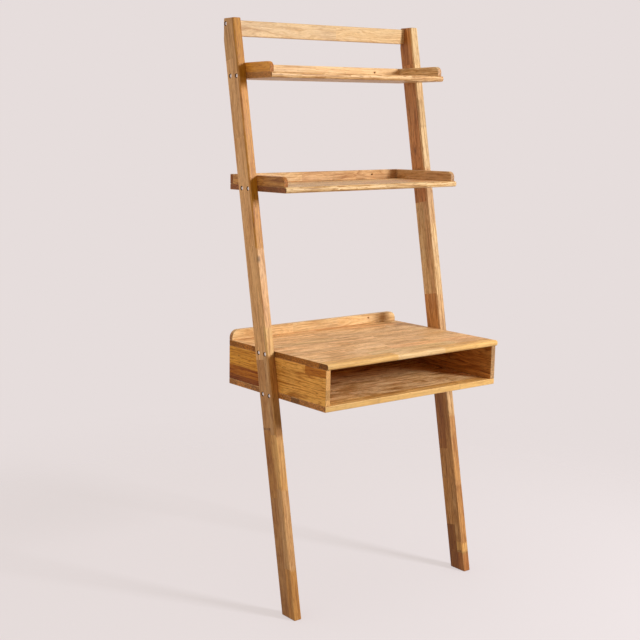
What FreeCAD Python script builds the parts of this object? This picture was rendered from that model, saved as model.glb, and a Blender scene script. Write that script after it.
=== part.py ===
import FreeCAD, Part
import os

import Sketcher
from FreeCAD import Placement, Rotation, Vector

# Ladder desk of solid oak that leans on a wall and is screwed to it. Two sloping uprights carry a
# rail, two shelf trays and an open desk box between them. Millimetres, +X right, +Y towards the
# wall, +Z up. The origin is on the floor, midway between the uprights and midway in depth.
#
# Every board is drawn in its own frame, where y = 0 is the wall and the front is negative y, and
# x = 0 is the middle of the desk. Its Placement brings it to its height and to the wall.

SIZES = {
    # The uprights: boards that lean back, with a level foot and a plumb cut against the wall.
    "overall_width": 725,
    "overall_height": 1730,
    "lean_angle": 10.6,
    "upright_thickness": 26,
    "upright_width": 59,
    "wall_cut_height": 63,
    "upright_edge_radius": 2.5,
    # The boards.
    "board_thickness": 17,
    "board_edge_radius": 2,
    "front_rounding": 7,
    # The upright strips round the trays.
    "lip_thickness": 15,
    "lip_height": 29,
    "lip_corner_radius": 18,
    "lip_setback": 10,
    # The rail at the top.
    "rail_thickness": 18,
    "rail_height": 45,
    "rail_top_gap": 5,
    "rail_bolt_drop": 10.5,
    "rail_dowel_drop": 31,
    # The trays: each drop is from the top of the uprights to the tray's upper face.
    "upper_shelf_drop": 157,
    "upper_shelf_depth": 200,
    "middle_shelf_drop": 479,
    "middle_shelf_depth": 272,
    # The desk box.
    "desk_height": 776,
    "desk_depth": 468,
    "desk_overhang": 8,
    "compartment_height": 103,
    "back_rise": 31,
    "back_corner_radius": 25,
    # The bolts through the uprights, and the threaded inserts in the ends of the boards.
    "bolt_spacing": 30,
    "bolt_diameter": 6,
    "bolt_hole_diameter": 6.6,
    "bolt_head_diameter": 10.5,
    "bolt_head_height": 3.5,
    "bolt_head_rounding": 1.4,
    "bolt_socket_radius": 2.3,
    "bolt_socket_depth": 2,
    "bolt_tip_chamfer": 0.8,
    "recess_diameter": 13,
    "recess_depth": 5.5,
    "thread_engagement": 19,
    "thread_gap": 0.05,
    "insert_diameter": 10,
    "insert_length": 20,
    # The wooden dowels: large ones in the desk box and the rail, small ones in lips and back.
    "large_dowel_diameter": 8,
    "large_dowel_length": 30,
    "small_dowel_diameter": 6,
    "small_dowel_length": 24,
    "dowel_chamfer": 0.8,
    "dowel_gap": 0.1,
    "dowel_end_gap": 1,
    "dowel_cover": 6,
    "upright_dowel_depth": 12,
    "lip_dowel_margin": 25,
    "side_dowel_margin": 38,
    "back_dowel_margin": 46,
    # The holes for screws into the wall.
    "wall_screw_inset": 120,
    "wall_screw_diameter": 5,
    "wall_screw_head_diameter": 9,
    "desk_screw_rise": 19,
}

# Expressions of the document, made from the sheet's cells.
WALL = "Sizes.desk_depth / 2"
HALF_CLEAR = "(Sizes.overall_width / 2 - Sizes.upright_thickness)"
LEAN = "tan(Sizes.lean_angle)"
LEVEL_WIDTH = "(Sizes.upright_width / cos(Sizes.lean_angle))"
TOP_REACH = f"({LEVEL_WIDTH} - Sizes.wall_cut_height * {LEAN})"
FOOT_REACH = f"({TOP_REACH} + Sizes.overall_height * {LEAN})"
RAIL_TOP = "(Sizes.overall_height - Sizes.rail_top_gap)"
UPPER_TOP = "(Sizes.overall_height - Sizes.upper_shelf_drop)"
MIDDLE_TOP = "(Sizes.overall_height - Sizes.middle_shelf_drop)"
COMPARTMENT_TOP = "(Sizes.desk_height - Sizes.board_thickness)"
COMPARTMENT_FLOOR = f"({COMPARTMENT_TOP} - Sizes.compartment_height)"
SIDE_REACH = "(Sizes.desk_depth - Sizes.desk_overhang)"
BOARD_MIDDLE = "Sizes.board_thickness / 2"
LIP_MIDDLE = "Sizes.lip_thickness / 2"
RAIL_BOLT_HEIGHT = f"({RAIL_TOP} - Sizes.rail_bolt_drop)"
RAIL_DOWEL_HEIGHT = f"({RAIL_TOP} - Sizes.rail_dowel_drop)"
UPPER_BOLT_HEIGHT = f"({UPPER_TOP} - {BOARD_MIDDLE})"
MIDDLE_BOLT_HEIGHT = f"({MIDDLE_TOP} - {BOARD_MIDDLE})"
DESK_BOLT_HEIGHT = f"({COMPARTMENT_TOP} + {BOARD_MIDDLE})"
FLOOR_BOLT_HEIGHT = f"({COMPARTMENT_FLOOR} - {BOARD_MIDDLE})"
BOARD_HOLE_DEPTH = "(Sizes.board_thickness - Sizes.dowel_cover)"
SCREW_X = f"({HALF_CLEAR} - Sizes.wall_screw_inset)"

LEFT, RIGHT = -1, 1
SIDE_NAMES = {LEFT: "left", RIGHT: "right"}

doc = FreeCAD.newDocument("ladder_desk")


def fill_sheet():
    """Writes each driving size into the sheet, under its own name."""
    sheet = doc.addObject("Spreadsheet::Sheet", "Sizes")
    for row, (name, size) in enumerate(SIZES.items(), start=1):
        sheet.set(f"A{row}", name)
        sheet.set(f"B{row}", str(size))
        sheet.setAlias(f"B{row}", name)
    doc.recompute()
    return sheet


SHEET = fill_sheet()


def number(expression):
    """The present value of an expression of the sheet's cells."""
    return float(SHEET.evalExpression(expression))


def upright_centre(height):
    """Distance from the wall to the middle of an upright, at a height."""
    fall = f"(Sizes.overall_height - {height}) * {LEAN}"
    return f"({TOP_REACH} - {LEVEL_WIDTH} / 2 + {fall})"


def bolt_distances(height):
    """Distances from the wall of the two bolts at a height."""
    centre = upright_centre(height)
    return [f"({centre} {sign} Sizes.bolt_spacing / 2)" for sign in "-+"]


class Piece:
    """One wooden piece: a body that is sketched, padded, eased and drilled, then placed."""

    def __init__(self, name, height="0", x="0", y=WALL):
        self.name = name
        self.body = doc.addObject("PartDesign::Body", name)
        self.body.Label = name
        for axis, expression in zip("xyz", (x, y, height)):
            self.body.setExpression(f"Placement.Base.{axis}", expression)

    def sketch(self, label, plane, offset="0"):
        """An empty sketch on one of the body's own planes, moved along that plane's normal."""
        sketch = self.body.newObject("Sketcher::SketchObject", f"{self.name}_{label}")
        base = next(f for f in self.body.Origin.OriginFeatures if f.Role == plane)
        sketch.AttachmentSupport = [(base, "")]
        sketch.MapMode = "FlatFace"
        sketch.setExpression("AttachmentOffset.Base.z", offset)
        return sketch

    def feature(self, kind, label, profile):
        feature = self.body.newObject(f"PartDesign::{kind}", f"{self.name}_{label}")
        feature.Profile = profile
        return feature

    def pad(self, sketch, length, backwards=False):
        pad = self.feature("Pad", "pad", sketch)
        pad.setExpression("Length", length)
        pad.Reversed = backwards
        doc.recompute()

    def ease(self, label, radius, chosen=lambda edge: True):
        """Rounds the chosen edges of the shape so far."""
        base = self.body.Tip
        edges = base.Shape.Edges
        fillet = self.body.newObject("PartDesign::Fillet", f"{self.name}_{label}")
        names = [f"Edge{i}" for i, edge in enumerate(edges, start=1) if chosen(edge)]
        fillet.Base = (base, names)
        fillet.setExpression("Radius", radius)
        doc.recompute()

    def middle(self):
        """The middle of the shape so far, in the piece's own frame."""
        return self.body.Tip.Shape.BoundBox.Center

    def checked(self, feature, volume_before):
        """Stops the build if a cut took nothing away."""
        doc.recompute()
        if feature.Shape.Volume > volume_before - 1:
            raise RuntimeError(f"{feature.Name} cuts nothing")
        return feature

    def pocket(self, sketch, depth, backwards=False):
        """Blind holes. They go against the sketch's normal, or along it when backwards."""
        before = self.body.Shape.Volume
        pocket = self.feature("Pocket", f"{sketch.Name}_cut", sketch)
        pocket.setExpression("Length", depth)
        pocket.Reversed = backwards
        return self.checked(pocket, before)

    def through_hole(self, sketch, diameter, cut, cut_diameter, cut_depth=None, backwards=False):
        """Through holes whose mouths are counterbored or countersunk."""
        before = self.body.Shape.Volume
        hole = self.feature("Hole", f"{sketch.Name}_hole", sketch)
        doc.recompute()
        hole.DepthType = "ThroughAll"
        hole.HoleCutType = cut
        hole.HoleCutCustomValues = True
        hole.setExpression("Diameter", diameter)
        hole.setExpression("HoleCutDiameter", cut_diameter)
        if cut_depth:
            hole.setExpression("HoleCutDepth", cut_depth)
        hole.Reversed = backwards
        return self.checked(hole, before)

    def mirror(self, features):
        """Repeats cuts on the other side of the middle of the desk."""
        before = self.body.Shape.Volume
        mirrored = self.body.newObject("PartDesign::Mirrored", f"{self.name}_mirrored")
        mirrored.Originals = features
        plane = next(f for f in self.body.Origin.OriginFeatures if f.Role == "YZ_Plane")
        mirrored.MirrorPlane = (plane, [""])
        self.body.Tip = mirrored
        self.checked(mirrored, before)


def pin(sketch, geometry, point, place):
    """Ties a point of a sketch to two expressions, measured from the sketch's origin."""
    for kind, axis, expression in zip(("DistanceX", "DistanceY"), (-2, -1), place):
        if expression == "0":
            sketch.addConstraint(Sketcher.Constraint("PointOnObject", geometry, point, axis))
            continue
        tie = Sketcher.Constraint(kind, -1, 1, geometry, point, number(expression))
        index = sketch.addConstraint(tie)
        sketch.setExpression(f"Constraints[{index}]", expression)


def outline(sketch, places):
    """A closed outline of straight lines through places, each a pair of expressions."""
    corners = [Vector(number(x), number(y), 0) for x, y in places]
    for start, end in zip(corners, corners[1:] + corners[:1]):
        sketch.addGeometry(Part.LineSegment(start, end))
    for i in range(len(corners)):
        following = (i + 1) % len(corners)
        sketch.addConstraint(Sketcher.Constraint("Coincident", i, 2, following, 1))
    for i, place in enumerate(places):
        pin(sketch, i, 1, place)


def rectangle(sketch, low, high):
    """A rectangle between two opposite corners, each a pair of expressions."""
    outline(sketch, [low, (high[0], low[1]), high, (low[0], high[1])])


def circles(sketch, places, diameter):
    """Equal circles at places, each a pair of expressions."""
    for place in places:
        centre = Vector(number(place[0]), number(place[1]), 0)
        circle = Part.Circle(centre, Vector(0, 0, 1), number(diameter) / 2)
        geometry = sketch.addGeometry(circle)
        pin(sketch, geometry, 3, place)
        index = sketch.addConstraint(Sketcher.Constraint("Diameter", geometry, circle.Radius * 2))
        sketch.setExpression(f"Constraints[{index}]", diameter)


def runs_along(edge, axis):
    """Whether an edge is straight and lies along an axis."""
    if not isinstance(edge.Curve, Part.Line):
        return False
    return abs(edge.Curve.Direction.dot(axis)) > 0.999


def dowel_hole(diameter):
    return f"(Sizes.{diameter} + 2 * Sizes.dowel_gap)"


LARGE_HOLE = dowel_hole("large_dowel_diameter")
SMALL_HOLE = dowel_hole("small_dowel_diameter")


def far_hole_depth(length, near_depth):
    """Depth of a dowel's other hole, which takes the rest of its length and both end gaps."""
    return f"(Sizes.{length} + 2 * Sizes.dowel_end_gap - {near_depth})"


def row_places():
    """Places along x of the five dowels under a back lip."""
    end = f"({HALF_CLEAR} - Sizes.back_dowel_margin)"
    return [f"-{end}", f"-{end} / 2", "0", f"{end} / 2", end]


def between_row_places():
    """Places along x of a back panel's four dowels, between those of the lip above it."""
    end = f"({HALF_CLEAR} - Sizes.back_dowel_margin)"
    return [f"{quarters} * {end} / 4" for quarters in (-3, -1, 1, 3)]


def side_lip_distances(height, depth):
    """Distances from the wall of the dowels under a side lip: between the bolts, and in front."""
    front = f"({depth} - Sizes.lip_setback - Sizes.lip_dowel_margin)"
    return [upright_centre(height), front]


def side_panel_distances(height):
    """Distances from the wall of the dowels in a side panel's end: one lies between the bolts."""
    centre = upright_centre(height)
    rear = "(Sizes.lip_thickness + Sizes.side_dowel_margin)"
    front = f"({SIDE_REACH} - Sizes.side_dowel_margin)"
    return [rear, centre, f"({centre} + {front}) / 2", front]


def bolt_places(height):
    """The two bolts at a height, as places in an upright's side view."""
    return [(f"-{distance}", height) for distance in bolt_distances(height)]


def upright(side):
    """A leaning board, drawn from the side. Its inner face is at x = 0."""
    piece = Piece(f"{SIDE_NAMES[side]}_upright", x=f"{side} * {HALF_CLEAR}")
    profile = piece.sketch("profile", "YZ_Plane")
    wall_cut_foot = "(Sizes.overall_height - Sizes.wall_cut_height)"
    toe = (f"-{FOOT_REACH}", "0")
    heel = (f"-({FOOT_REACH} - {LEVEL_WIDTH})", "0")
    back = [("0", wall_cut_foot), ("0", "Sizes.overall_height")]
    front_top = (f"-{TOP_REACH}", "Sizes.overall_height")
    outline(profile, [toe, heel, *back, front_top])
    piece.pad(profile, "Sizes.upright_thickness", backwards=side == LEFT)
    piece.ease("easing", "Sizes.upright_edge_radius")

    outer_face = piece.sketch("bolt_holes", "YZ_Plane", f"{side} * Sizes.upright_thickness")
    heights = [UPPER_BOLT_HEIGHT, MIDDLE_BOLT_HEIGHT, DESK_BOLT_HEIGHT, FLOOR_BOLT_HEIGHT]
    places = [("-Sizes.rail_thickness / 2", RAIL_BOLT_HEIGHT)]
    for height in heights:
        places += bolt_places(height)
    circles(outer_face, places, "Sizes.bolt_hole_diameter")
    piece.through_hole(
        outer_face,
        "Sizes.bolt_hole_diameter",
        "Counterbore",
        "Sizes.recess_diameter",
        "Sizes.recess_depth",
        backwards=side == LEFT,
    )

    inner_face = piece.sketch("rail_dowel_hole", "YZ_Plane")
    circles(inner_face, [("-Sizes.rail_thickness / 2", RAIL_DOWEL_HEIGHT)], LARGE_HOLE)
    piece.pocket(inner_face, "Sizes.upright_dowel_depth", backwards=side == RIGHT)
    return piece


def insert_holes(piece, places):
    """Holes for threaded inserts in a board's right end."""
    end = piece.sketch("insert_holes", "YZ_Plane", HALF_CLEAR)
    circles(end, places, "Sizes.insert_diameter")
    return piece.pocket(end, "Sizes.insert_length")


def end_bolt_places(height):
    """The two bolts at a height, as places in the side view of the board they hold."""
    return [(f"-{distance}", BOARD_MIDDLE) for distance in bolt_distances(height)]


def top_rail():
    """The rail between the tops of the uprights, drawn from the front."""
    piece = Piece("top_rail", height=f"{RAIL_TOP} - Sizes.rail_height")
    face = piece.sketch("outline", "XZ_Plane")
    rectangle(face, (f"-{HALF_CLEAR}", "0"), (HALF_CLEAR, "Sizes.rail_height"))
    piece.pad(face, "Sizes.rail_thickness")
    piece.ease("easing", "Sizes.board_edge_radius")
    bolt = ("-Sizes.rail_thickness / 2", "(Sizes.rail_height - Sizes.rail_bolt_drop)")
    dowel = ("-Sizes.rail_thickness / 2", "(Sizes.rail_height - Sizes.rail_dowel_drop)")
    bolt_hole = insert_holes(piece, [bolt])
    end = piece.sketch("dowel_hole", "YZ_Plane", HALF_CLEAR)
    circles(end, [dowel], LARGE_HOLE)
    depth = far_hole_depth("large_dowel_length", "Sizes.upright_dowel_depth")
    piece.mirror([bolt_hole, piece.pocket(end, depth)])
    return piece


def flat_board(name, height, reach, front_rounded=True):
    """A level board between the uprights, from the wall to its reach, with a rounded front."""
    piece = Piece(name, height=height)
    face = piece.sketch("outline", "XY_Plane")
    rectangle(face, (f"-{HALF_CLEAR}", f"-{reach}"), (HALF_CLEAR, "0"))
    piece.pad(face, "Sizes.board_thickness")
    if front_rounded:
        sideways = Vector(1, 0, 0)
        middle = piece.middle()
        piece.ease(
            "front",
            "Sizes.front_rounding",
            lambda edge: runs_along(edge, sideways) and edge.CenterOfMass.y < middle.y,
        )
    piece.ease("easing", "Sizes.board_edge_radius")
    return piece


def back_lip_holes(piece):
    """Holes in a board's upper face for the dowels of the lip along its rear."""
    face = piece.sketch("back_lip_holes", "XY_Plane", "Sizes.board_thickness")
    circles(face, [(x, f"-{LIP_MIDDLE}") for x in row_places()], SMALL_HOLE)
    piece.pocket(face, BOARD_HOLE_DEPTH)


def tray_board(name, top, bolt_height, depth):
    """A tray's board, with inserts in its ends and dowel holes for its three lips."""
    height = f"{top} - Sizes.board_thickness"
    piece = flat_board(name, height, depth)
    ends = insert_holes(piece, end_bolt_places(bolt_height))
    upper_face = piece.sketch("side_lip_holes", "XY_Plane", "Sizes.board_thickness")
    x = f"({HALF_CLEAR} - {LIP_MIDDLE})"
    places = [(x, f"-{y}") for y in side_lip_distances(bolt_height, depth)]
    circles(upper_face, places, SMALL_HOLE)
    piece.mirror([ends, piece.pocket(upper_face, BOARD_HOLE_DEPTH)])
    back_lip_holes(piece)
    return piece


def wall_screw_holes(piece, height):
    """Two countersunk holes for screws into the wall, from the front face."""
    front = piece.sketch("screw_holes", "XZ_Plane", "Sizes.lip_thickness")
    circles(front, [(f"-{SCREW_X}", height), (SCREW_X, height)], "Sizes.wall_screw_diameter")
    piece.through_hole(
        front, "Sizes.wall_screw_diameter", "Countersink", "Sizes.wall_screw_head_diameter"
    )


def back_lip(name, top, height, screw_rise, corner_radius=None):
    """The strip along the rear of a board, drawn from the front. It stands on the board."""
    piece = Piece(name, height=top)
    face = piece.sketch("outline", "XZ_Plane")
    rectangle(face, (f"-{HALF_CLEAR}", "0"), (HALF_CLEAR, height))
    piece.pad(face, "Sizes.lip_thickness")
    if corner_radius:
        inwards = Vector(0, 1, 0)
        middle = piece.middle()
        piece.ease(
            "corners",
            corner_radius,
            lambda edge: runs_along(edge, inwards) and edge.CenterOfMass.z > middle.z,
        )
    piece.ease("easing", "Sizes.board_edge_radius")
    lower_face = piece.sketch("dowel_holes", "XY_Plane")
    circles(lower_face, [(x, f"-{LIP_MIDDLE}") for x in row_places()], SMALL_HOLE)
    depth = far_hole_depth("small_dowel_length", BOARD_HOLE_DEPTH)
    piece.pocket(lower_face, depth, backwards=True)
    wall_screw_holes(piece, screw_rise)
    return piece


def side_lip(name, side, top, bolt_height, depth):
    """The strip along a tray's side, drawn from the side, with its front corner rounded off."""
    piece = Piece(name, height=top, x=f"{side} * {HALF_CLEAR}")
    profile = piece.sketch("profile", "YZ_Plane")
    front = f"-({depth} - Sizes.lip_setback)"
    rectangle(profile, (front, "0"), ("-Sizes.lip_thickness", "Sizes.lip_height"))
    piece.pad(profile, "Sizes.lip_thickness", backwards=side == RIGHT)
    across = Vector(1, 0, 0)
    middle = piece.middle()
    piece.ease(
        "corner",
        "Sizes.lip_corner_radius",
        lambda edge: runs_along(edge, across)
        and edge.CenterOfMass.y < middle.y
        and edge.CenterOfMass.z > middle.z,
    )
    piece.ease("easing", "Sizes.board_edge_radius")
    lower_face = piece.sketch("dowel_holes", "XY_Plane")
    x = f"{-side} * {LIP_MIDDLE}"
    places = [(x, f"-{y}") for y in side_lip_distances(bolt_height, depth)]
    circles(lower_face, places, SMALL_HOLE)
    far_depth = far_hole_depth("small_dowel_length", BOARD_HOLE_DEPTH)
    piece.pocket(lower_face, far_depth, backwards=True)
    return piece


def tray(name, top, bolt_height, depth):
    """A shelf tray: a board with a lip at its rear and at both sides."""
    board = tray_board(f"{name}_board", top, bolt_height, depth)
    lips = [back_lip(f"{name}_back_lip", top, "Sizes.lip_height", "Sizes.lip_height / 2")]
    for side in (LEFT, RIGHT):
        lip_name = f"{name}_{SIDE_NAMES[side]}_lip"
        lips.append(side_lip(lip_name, side, top, bolt_height, depth))
    return [board, *lips]


def side_dowel_holes(piece, offset, bolt_height, upwards):
    """Holes in a desk board for the dowels of the right side panel."""
    face = piece.sketch("side_dowel_holes", "XY_Plane", offset)
    x = f"({HALF_CLEAR} - {BOARD_MIDDLE})"
    places = [(x, f"-{y}") for y in side_panel_distances(bolt_height)]
    circles(face, places, LARGE_HOLE)
    return piece.pocket(face, BOARD_HOLE_DEPTH, backwards=upwards)


def back_panel_holes(piece, offset, upwards):
    """Holes in a desk board for the dowels of the back panel."""
    face = piece.sketch("back_panel_holes", "XY_Plane", offset)
    circles(face, [(x, f"-{LIP_MIDDLE}") for x in between_row_places()], SMALL_HOLE)
    piece.pocket(face, BOARD_HOLE_DEPTH, backwards=upwards)


def desk_board(name, height, reach, bolt_height, panels_below):
    """The desktop or the box's floor. The side and back panels are dowelled to one face."""
    piece = flat_board(name, height, reach, front_rounded=panels_below)
    ends = insert_holes(piece, end_bolt_places(bolt_height))
    offset = "0" if panels_below else "Sizes.board_thickness"
    piece.mirror([ends, side_dowel_holes(piece, offset, bolt_height, panels_below)])
    back_panel_holes(piece, offset, panels_below)
    if panels_below:
        back_lip_holes(piece)
    return piece


def box_panel_holes(piece, places, hole, length):
    """Dowel holes in the upper and lower edges of one of the desk box's panels."""
    depth = far_hole_depth(length, BOARD_HOLE_DEPTH)
    for label, offset in (("upper_holes", "Sizes.compartment_height"), ("lower_holes", "0")):
        face = piece.sketch(label, "XY_Plane", offset)
        circles(face, places[label], hole)
        piece.pocket(face, depth, backwards=offset == "0")


def desk_side(side):
    """A side panel of the desk box, drawn from the side. Its outer face is at x = 0."""
    name = f"desk_{SIDE_NAMES[side]}_side"
    piece = Piece(name, height=COMPARTMENT_FLOOR, x=f"{side} * {HALF_CLEAR}")
    profile = piece.sketch("profile", "YZ_Plane")
    rectangle(profile, (f"-{SIDE_REACH}", "0"), ("0", "Sizes.compartment_height"))
    piece.pad(profile, "Sizes.board_thickness", backwards=side == RIGHT)
    piece.ease("easing", "Sizes.board_edge_radius")
    x = f"{-side} * {BOARD_MIDDLE}"
    places = {
        "upper_holes": [(x, f"-{y}") for y in side_panel_distances(DESK_BOLT_HEIGHT)],
        "lower_holes": [(x, f"-{y}") for y in side_panel_distances(FLOOR_BOLT_HEIGHT)],
    }
    box_panel_holes(piece, places, LARGE_HOLE, "large_dowel_length")
    return piece


def desk_back():
    """The back panel of the desk box, which fills it between its sides. Its edges stay sharp."""
    piece = Piece("desk_back", height=COMPARTMENT_FLOOR)
    face = piece.sketch("outline", "XZ_Plane")
    half = f"({HALF_CLEAR} - Sizes.board_thickness)"
    rectangle(face, (f"-{half}", "0"), (half, "Sizes.compartment_height"))
    piece.pad(face, "Sizes.lip_thickness")
    row = [(x, f"-{LIP_MIDDLE}") for x in between_row_places()]
    places = {"upper_holes": row, "lower_holes": row}
    box_panel_holes(piece, places, SMALL_HOLE, "small_dowel_length")
    return piece


def bolt():
    """A button-head bolt that points down from its head, whose seat is at z = 0."""
    piece = Piece("bolt", y="0")
    profile = piece.sketch("profile", "XZ_Plane")
    shank = "Sizes.bolt_diameter / 2"
    grip = "(Sizes.upright_thickness - Sizes.recess_depth + Sizes.thread_engagement)"
    chamfer = "Sizes.bolt_tip_chamfer"
    head = "Sizes.bolt_head_diameter / 2"
    tip = [("0", f"-{grip}"), (f"({shank} - {chamfer})", f"-{grip}")]
    thread = [(shank, f"-({grip} - {chamfer})"), (shank, "0")]
    cap = [(head, "0"), (head, "Sizes.bolt_head_height"), ("0", "Sizes.bolt_head_height")]
    outline(profile, tip + thread + cap)
    turned = piece.feature("Revolution", "turned", profile)
    turned.ReferenceAxis = (profile, ["V_Axis"])
    doc.recompute()
    crown = number("Sizes.bolt_head_height")
    piece.ease(
        "crown",
        "Sizes.bolt_head_rounding",
        lambda edge: edge.Length > 1 and abs(edge.BoundBox.ZMin - crown) < 0.01,
    )
    socket = piece.sketch("socket", "XY_Plane", "Sizes.bolt_head_height")
    radius = "Sizes.bolt_socket_radius"
    hexagon = [(f"{radius} * cos({a})", f"{radius} * sin({a})") for a in range(30, 390, 60)]
    outline(socket, hexagon)
    piece.pocket(socket, "Sizes.bolt_socket_depth")
    return piece


def insert():
    """A threaded sleeve that reaches down from its mouth at z = 0."""
    piece = Piece("insert", y="0")
    profile = piece.sketch("profile", "XZ_Plane")
    bore = "(Sizes.bolt_diameter / 2 + Sizes.thread_gap)"
    rectangle(profile, (bore, "-Sizes.insert_length"), ("Sizes.insert_diameter / 2", "0"))
    turned = piece.feature("Revolution", "turned", profile)
    turned.ReferenceAxis = (profile, ["V_Axis"])
    doc.recompute()
    return piece


def dowel(size):
    """A wooden dowel with bevelled ends, upright, with its middle at the origin."""
    piece = Piece(f"{size}_dowel", y="0")
    profile = piece.sketch("profile", "XZ_Plane")
    radius = f"Sizes.{size}_dowel_diameter / 2"
    half = f"Sizes.{size}_dowel_length / 2"
    bevel = "Sizes.dowel_chamfer"
    lower = [("0", f"-{half}"), (f"({radius} - {bevel})", f"-{half}")]
    side = [(radius, f"-({half} - {bevel})"), (radius, f"({half} - {bevel})")]
    upper = [(f"({radius} - {bevel})", half), ("0", half)]
    outline(profile, lower + side + upper)
    turned = piece.feature("Revolution", "turned", profile)
    turned.ReferenceAxis = (profile, ["V_Axis"])
    doc.recompute()
    return piece


# Turns from upright to pointing outwards on a side.
OUTWARDS = {side: Rotation(Vector(0, 1, 0), side * 90) for side in (LEFT, RIGHT)}
UPRIGHT = Rotation()


def group(name, pattern, places):
    """Identical fasteners in one node: places are (rotation, x, distance from wall, height)."""
    copies = []
    for i, (rotation, x, distance, height) in enumerate(places, start=1):
        copy = doc.addObject("App::Link", f"{name}_{i}")
        copy.LinkedObject = pattern.body
        copy.Placement = Placement(Vector(), rotation)
        copy.setExpression("Placement.Base.x", x)
        copy.setExpression("Placement.Base.y", f"{WALL} - {distance}")
        copy.setExpression("Placement.Base.z", height)
        copies.append(copy)
    compound = doc.addObject("Part::Compound", name)
    compound.Label = name
    compound.Links = copies
    return compound


def fastener_places(depth_in, distances, height):
    """One fastener at each distance from the wall, on both sides, turned outwards."""
    places = []
    for side in (LEFT, RIGHT):
        for distance in distances:
            places.append((OUTWARDS[side], f"{side} * {depth_in}", distance, height))
    return places


def bolts_and_inserts(name, distances, height, bolt_pattern, insert_pattern):
    """The bolts that hold one board to both uprights, and the inserts that take them."""
    seat = "(Sizes.overall_width / 2 - Sizes.recess_depth)"
    bolts = group(f"{name}_bolts", bolt_pattern, fastener_places(seat, distances, height))
    mouths = fastener_places(HALF_CLEAR, distances, height)
    return [bolts, group(f"{name}_inserts", insert_pattern, mouths)]


def into_far_piece(size, near_depth):
    """How far a dowel's middle lies beyond the joint, inside the piece with the deeper hole."""
    return f"(Sizes.{size}_dowel_length / 2 - {near_depth} + Sizes.dowel_end_gap)"


def rail_dowels(pattern):
    x = f"({HALF_CLEAR} - {into_far_piece('large', 'Sizes.upright_dowel_depth')})"
    return group(
        "top_rail_dowels",
        pattern,
        fastener_places(x, ["Sizes.rail_thickness / 2"], RAIL_DOWEL_HEIGHT),
    )


def lip_dowels(name, pattern, top, bolt_height, depth):
    """The dowels that hold a tray's three lips to its board."""
    height = f"({top} + {into_far_piece('small', BOARD_HOLE_DEPTH)})"
    places = [(UPRIGHT, x, LIP_MIDDLE, height) for x in row_places()]
    for side in (LEFT, RIGHT):
        x = f"{side} * ({HALF_CLEAR} - {LIP_MIDDLE})"
        for distance in side_lip_distances(bolt_height, depth):
            places.append((UPRIGHT, x, distance, height))
    return group(f"{name}_lip_dowels", pattern, places)


def desk_side_dowels(pattern):
    """The dowels above and below both side panels of the desk box."""
    into_panel = into_far_piece("large", BOARD_HOLE_DEPTH)
    joints = {
        DESK_BOLT_HEIGHT: f"({COMPARTMENT_TOP} - {into_panel})",
        FLOOR_BOLT_HEIGHT: f"({COMPARTMENT_FLOOR} + {into_panel})",
    }
    places = []
    for side in (LEFT, RIGHT):
        x = f"{side} * ({HALF_CLEAR} - {BOARD_MIDDLE})"
        for bolt_height, height in joints.items():
            for distance in side_panel_distances(bolt_height):
                places.append((UPRIGHT, x, distance, height))
    return group("desk_side_dowels", pattern, places)


def desk_back_dowels(pattern):
    """The dowels under the desk's back lip, and those above and below its back panel."""
    into_far = into_far_piece("small", BOARD_HOLE_DEPTH)
    rows = {
        f"(Sizes.desk_height + {into_far})": row_places(),
        f"({COMPARTMENT_TOP} - {into_far})": between_row_places(),
        f"({COMPARTMENT_FLOOR} + {into_far})": between_row_places(),
    }
    places = [(UPRIGHT, x, LIP_MIDDLE, height) for height, row in rows.items() for x in row]
    return group("desk_back_dowels", pattern, places)


def wooden_pieces():
    pieces = [upright(LEFT), upright(RIGHT), top_rail()]
    pieces += tray("upper_shelf", UPPER_TOP, UPPER_BOLT_HEIGHT, "Sizes.upper_shelf_depth")
    pieces += tray("middle_shelf", MIDDLE_TOP, MIDDLE_BOLT_HEIGHT, "Sizes.middle_shelf_depth")
    floor_height = f"{COMPARTMENT_FLOOR} - Sizes.board_thickness"
    pieces += [
        desk_board("desk_top", COMPARTMENT_TOP, "Sizes.desk_depth", DESK_BOLT_HEIGHT, True),
        desk_board("desk_bottom", floor_height, SIDE_REACH, FLOOR_BOLT_HEIGHT, False),
        desk_side(LEFT),
        desk_side(RIGHT),
        desk_back(),
        back_lip(
            "desk_back_lip",
            "Sizes.desk_height",
            "Sizes.back_rise",
            "Sizes.desk_screw_rise",
            "Sizes.back_corner_radius",
        ),
    ]
    return [piece.body for piece in pieces]


def fasteners():
    bolt_pattern, insert_pattern = bolt(), insert()
    large, small = dowel("large"), dowel("small")
    boards = {
        "top_rail": (["Sizes.rail_thickness / 2"], RAIL_BOLT_HEIGHT),
        "upper_shelf": (bolt_distances(UPPER_BOLT_HEIGHT), UPPER_BOLT_HEIGHT),
        "middle_shelf": (bolt_distances(MIDDLE_BOLT_HEIGHT), MIDDLE_BOLT_HEIGHT),
        "desk_top": (bolt_distances(DESK_BOLT_HEIGHT), DESK_BOLT_HEIGHT),
        "desk_bottom": (bolt_distances(FLOOR_BOLT_HEIGHT), FLOOR_BOLT_HEIGHT),
    }
    groups = []
    for name, (distances, height) in boards.items():
        groups += bolts_and_inserts(name, distances, height, bolt_pattern, insert_pattern)
    upper, middle = "Sizes.upper_shelf_depth", "Sizes.middle_shelf_depth"
    groups += [
        rail_dowels(large),
        lip_dowels("upper_shelf", small, UPPER_TOP, UPPER_BOLT_HEIGHT, upper),
        lip_dowels("middle_shelf", small, MIDDLE_TOP, MIDDLE_BOLT_HEIGHT, middle),
        desk_side_dowels(large),
        desk_back_dowels(small),
    ]
    return groups


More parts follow.
